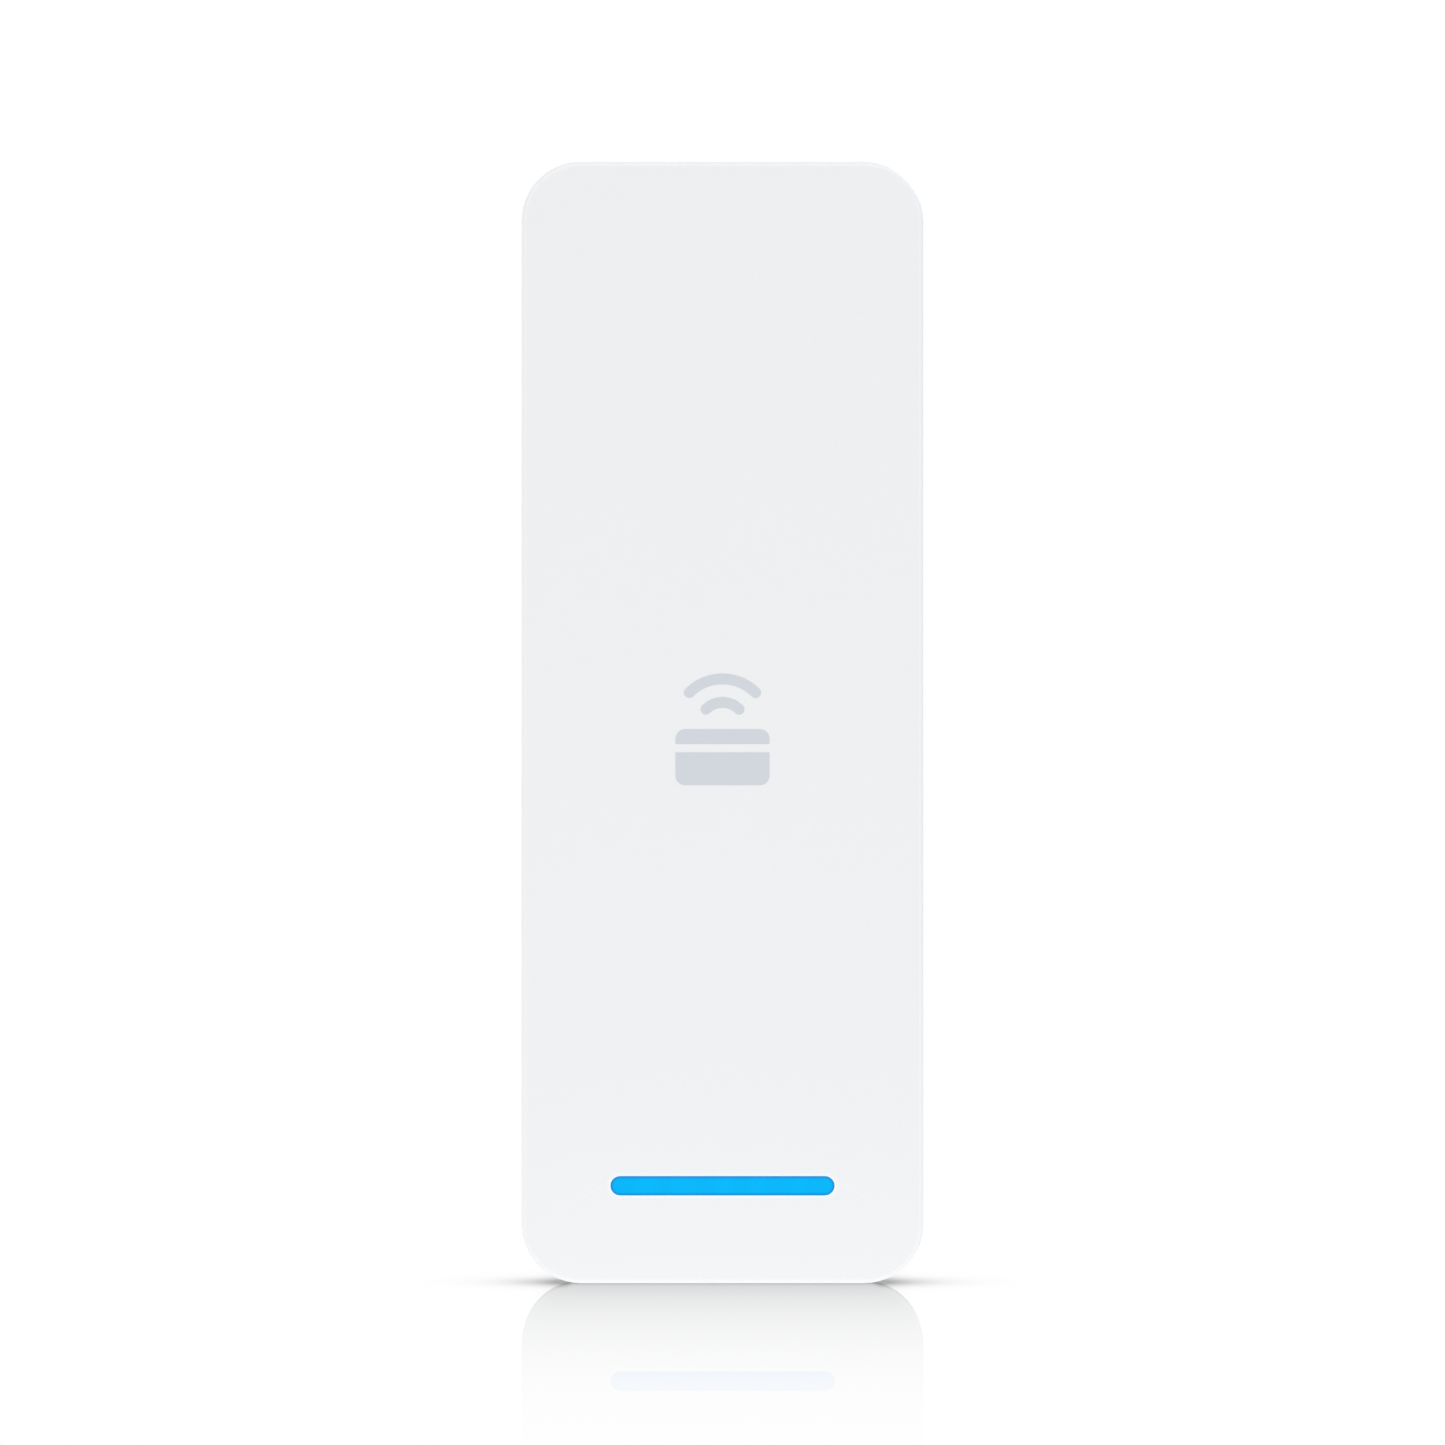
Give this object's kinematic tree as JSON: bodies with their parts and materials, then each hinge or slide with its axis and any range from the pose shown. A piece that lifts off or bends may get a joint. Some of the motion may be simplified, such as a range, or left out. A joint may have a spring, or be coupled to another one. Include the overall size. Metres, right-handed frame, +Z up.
{
  "type": "rfid card reader",
  "caption": "Slim wall-mounted contactless card reader: white rounded housing with a lit status bar, hung on a steel wall bracket and locked from below by a security screw.",
  "frame": {"origin": "centre of the wall bracket's rear face, on the reader's vertical midline, at half the housing's height", "axes": "+Z up along the housing's length, +Y into the wall, so the front face looks along -Y, +X to the viewer's right when facing the front"},
  "size_m": [0.042, 0.024, 0.1172],
  "materials": {
    "bracket_steel": "zinc-plated pressed steel, satin",
    "pin_steel": "ground steel, lightly oiled",
    "nut_metal": "yellow passivated clinch nut",
    "cover_plastic": "fine satin white polycarbonate",
    "mark_ink": "pale grey printed ink",
    "lens_blue": "diffusing lens, lit blue",
    "guide_clear": "clear moulded acrylic",
    "foam_dark": "closed-cell foam, matt",
    "seal_rubber": "grey silicone cord, matt",
    "rear_plastic": "satin white polycarbonate",
    "screw_steel": "bright zinc-plated steel",
    "vent_fabric": "white expanded membrane",
    "frame_plastic": "black moulded plastic",
    "board_green": "green solder mask",
    "coil_copper": "copper track, flash plated",
    "ferrite_grey": "flexible ferrite sheet, matt",
    "contact_gold": "gold plated spring pins",
    "led_white": "white package with yellow gel",
    "shield_tin": "tinned sheet",
    "chip_black": "black moulding compound",
    "ceramic_tan": "ceramic with tinned ends",
    "winding_tape": "yellow polyester tape",
    "can_aluminium": "bright drawn cans",
    "relay_blue": "blue moulded case",
    "disc_brass": "brass disc",
    "header_grey": "dark grey moulded plastic",
    "pin_tin": "tinned square pins",
    "plug_green": "green moulded plastic",
    "button_orange": "orange moulded plastic",
    "plunger_white": "natural white acetal",
    "button_red": "red moulded plastic",
    "lock_steel": "stainless steel, turned"
  },
  "bodies": {
    "bracket": {"wall_bracket": "bracket_steel", "hanger_pin": "pin_steel", "lock_nut": "nut_metal"},
    "reader": {"front_cover": "cover_plastic", "front_mark": "mark_ink", "light_bar": "lens_blue", "light_guide": "guide_clear", "light_bar_seal": "foam_dark", "housing_seal": "seal_rubber", "rear_housing": "rear_plastic", "bay_gasket": "foam_dark", "housing_screws": "screw_steel", "vent_membrane": "vent_fabric", "board_frame": "frame_plastic", "antenna_board": "board_green", "antenna_coil": "coil_copper", "ferrite_sheet": "ferrite_grey", "antenna_connector": "contact_gold", "main_board": "board_green", "status_leds": "led_white", "processor_shield": "shield_tin", "processor_chip": "chip_black", "reader_chip": "chip_black", "memory_chips": "chip_black", "network_chip": "chip_black", "clock_crystals": "shield_tin", "chip_components": "ceramic_tan", "transformer_core": "ferrite_grey", "transformer_winding": "winding_tape", "bulk_capacitors": "can_aluminium", "power_inductor": "ferrite_grey", "lock_relay": "relay_blue", "buzzer_case": "frame_plastic", "buzzer_disc": "disc_brass", "tamper_switch": "frame_plastic", "reset_switch": "frame_plastic", "jack_shell": "shield_tin", "jack_insulator": "frame_plastic", "jack_contacts": "contact_gold", "terminal_header": "header_grey", "header_pins": "pin_tin", "tamper_spring": "pin_tin"},
    "screw_carriage": {"screw_seal": "foam_dark"},
    "lock_screw": {"security_screw": "lock_steel"},
    "tamper_pin": {"tamper_plunger": "plunger_white"},
    "reset_pin": {"reset_button": "button_red"},
    "wire_plug": {"terminal_plug": "plug_green", "plug_clamps": "pin_tin"},
    "release_1": {"release_button_1": "button_orange"},
    "release_2": {"release_button_2": "button_orange"},
    "release_3": {"release_button_3": "button_orange"},
    "release_4": {"release_button_4": "button_orange"}
  },
  "joints": [
    {"name": "reader_tilt", "type": "hinge", "parent": "bracket", "child": "reader", "pos_m": [0, -0.0045, 0.051], "axis": [-1, 0, 0], "range_deg": [0, 25]},
    {"name": "screw_travel", "type": "slide", "parent": "reader", "child": "screw_carriage", "axis": [0, 0, 1], "range_m": [0, 0.00275]},
    {"name": "screw_turn", "type": "hinge", "parent": "screw_carriage", "child": "lock_screw", "pos_m": [0, -0.0065, -0.0565], "axis": [0, 0, 1], "range_deg": [0, 1980]},
    {"name": "tamper_press", "type": "slide", "parent": "reader", "child": "tamper_pin", "axis": [0, 1, 0], "range_m": [0, 0.0014]},
    {"name": "reset_press", "type": "slide", "parent": "reader", "child": "reset_pin", "axis": [0, -1, 0], "range_m": [0, 0.00035]},
    {"name": "plug_pull", "type": "slide", "parent": "reader", "child": "wire_plug", "axis": [0, 0, -1], "range_m": [0, 0.009], "stiffness_N_per_m": 150},
    {"name": "release_press_1", "type": "slide", "parent": "wire_plug", "child": "release_1", "axis": [0, -1, 0], "range_m": [0, 0.001]},
    {"name": "release_press_2", "type": "slide", "parent": "wire_plug", "child": "release_2", "axis": [0, -1, 0], "range_m": [0, 0.001]},
    {"name": "release_press_3", "type": "slide", "parent": "wire_plug", "child": "release_3", "axis": [0, -1, 0], "range_m": [0, 0.001]},
    {"name": "release_press_4", "type": "slide", "parent": "wire_plug", "child": "release_4", "axis": [0, -1, 0], "range_m": [0, 0.001]}
  ],
  "couplings": [
    {"joint": "screw_turn", "follows": "screw_travel", "rad_per_m": 12566}
  ]
}
